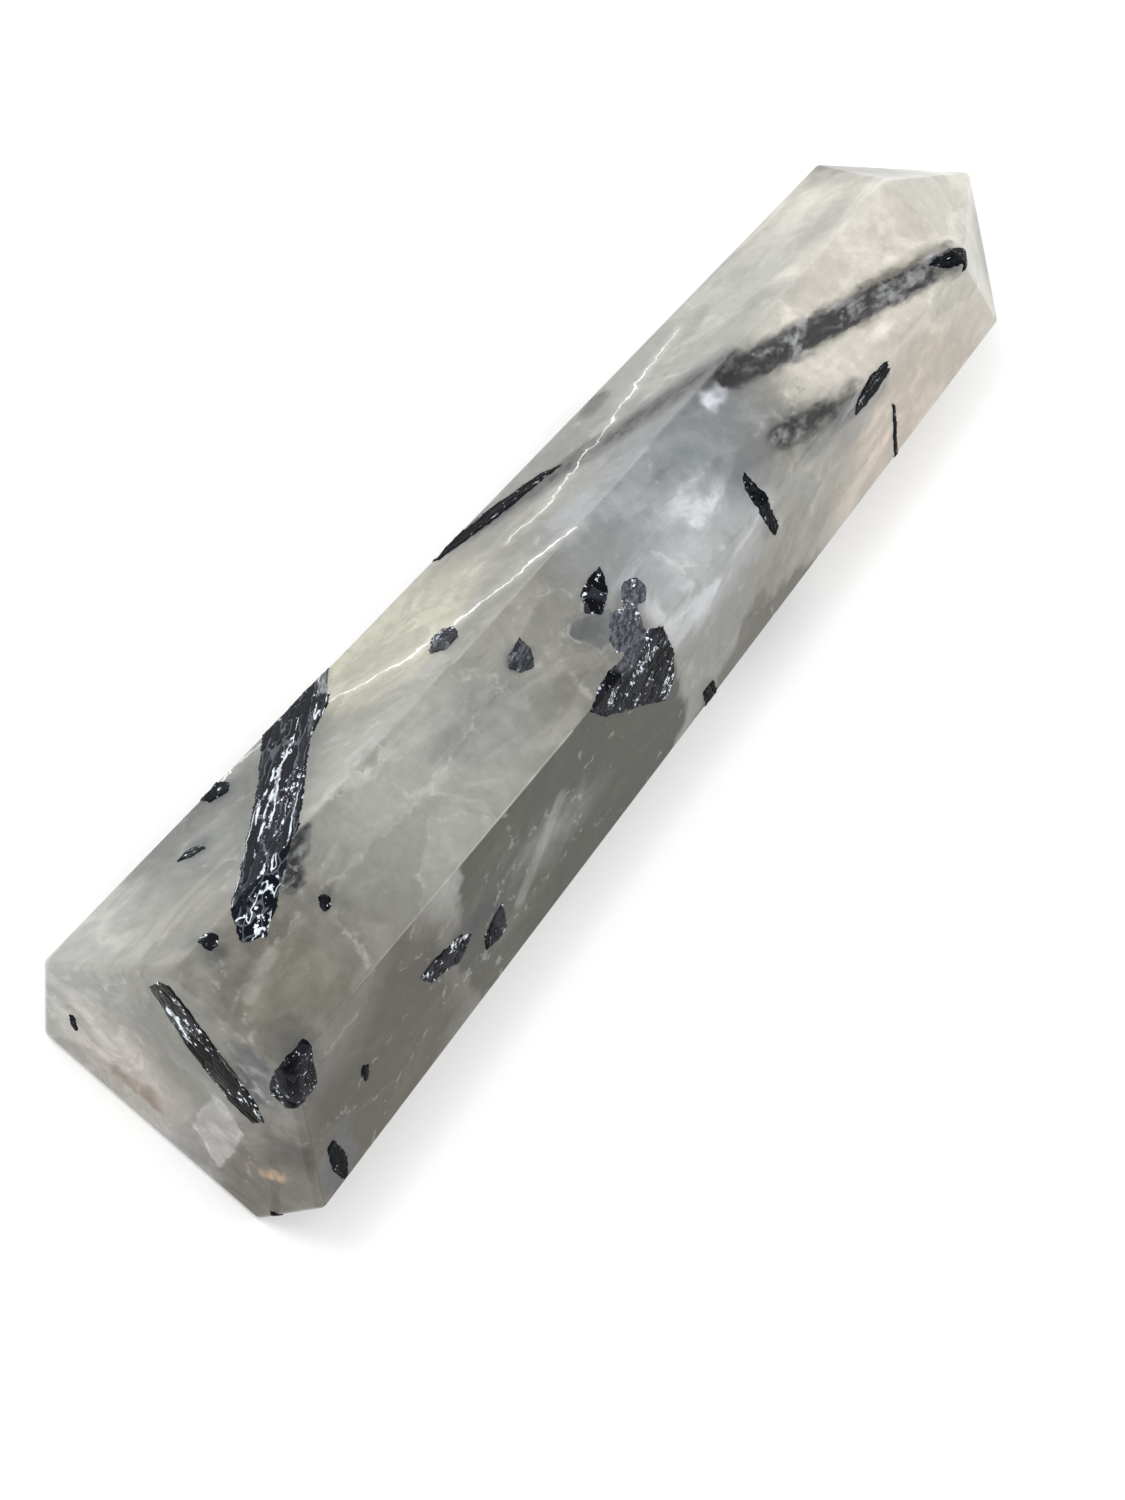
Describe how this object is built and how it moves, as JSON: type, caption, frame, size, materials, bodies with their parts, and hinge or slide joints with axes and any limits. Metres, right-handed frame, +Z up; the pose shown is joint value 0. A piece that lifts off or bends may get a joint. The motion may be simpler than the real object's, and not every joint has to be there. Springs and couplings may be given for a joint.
{
  "type": "black rutilated quartz obelisk",
  "caption": "Hand-cut six-sided obelisk of milky polished quartz with a pointed tip and black tourmaline crystals grown through it, lying on one side.",
  "frame": {"origin": "on the resting surface, under the middle of the part's bounding box", "axes": "+X along the obelisk from its wide base to its tip, +Y to its left seen from the base, +Z up from the face that it lies on"},
  "size_m": [0.108, 0.0256, 0.0203],
  "materials": {
    "milky_quartz": "polished, milky and half see-through, with white veils, thin fracture lines and warm stains",
    "black_tourmaline": "black, finely ribbed along its length, with white quartz threads, polished flush with the quartz"
  },
  "bodies": {
    "root": {"quartz": "milky_quartz", "long_rod": "black_tourmaline", "stub_rod": "black_tourmaline", "edge_lath": "black_tourmaline", "central_cluster": "black_tourmaline", "ridge_crystal": "black_tourmaline", "drop_crystal": "black_tourmaline", "big_lath": "black_tourmaline", "left_rim_crystal": "black_tourmaline", "left_splinter": "black_tourmaline", "top_speck": "black_tourmaline", "ridge_speck": "black_tourmaline", "right_crystal": "black_tourmaline", "right_rim_crystal": "black_tourmaline", "tip_splinter": "black_tourmaline", "right_speck": "black_tourmaline", "foot_crystal": "black_tourmaline", "base_lath": "black_tourmaline", "corner_crystal": "black_tourmaline", "base_needle": "black_tourmaline", "base_speck": "black_tourmaline", "under_lath": "black_tourmaline", "under_crystal": "black_tourmaline"}
  },
  "joints": []
}
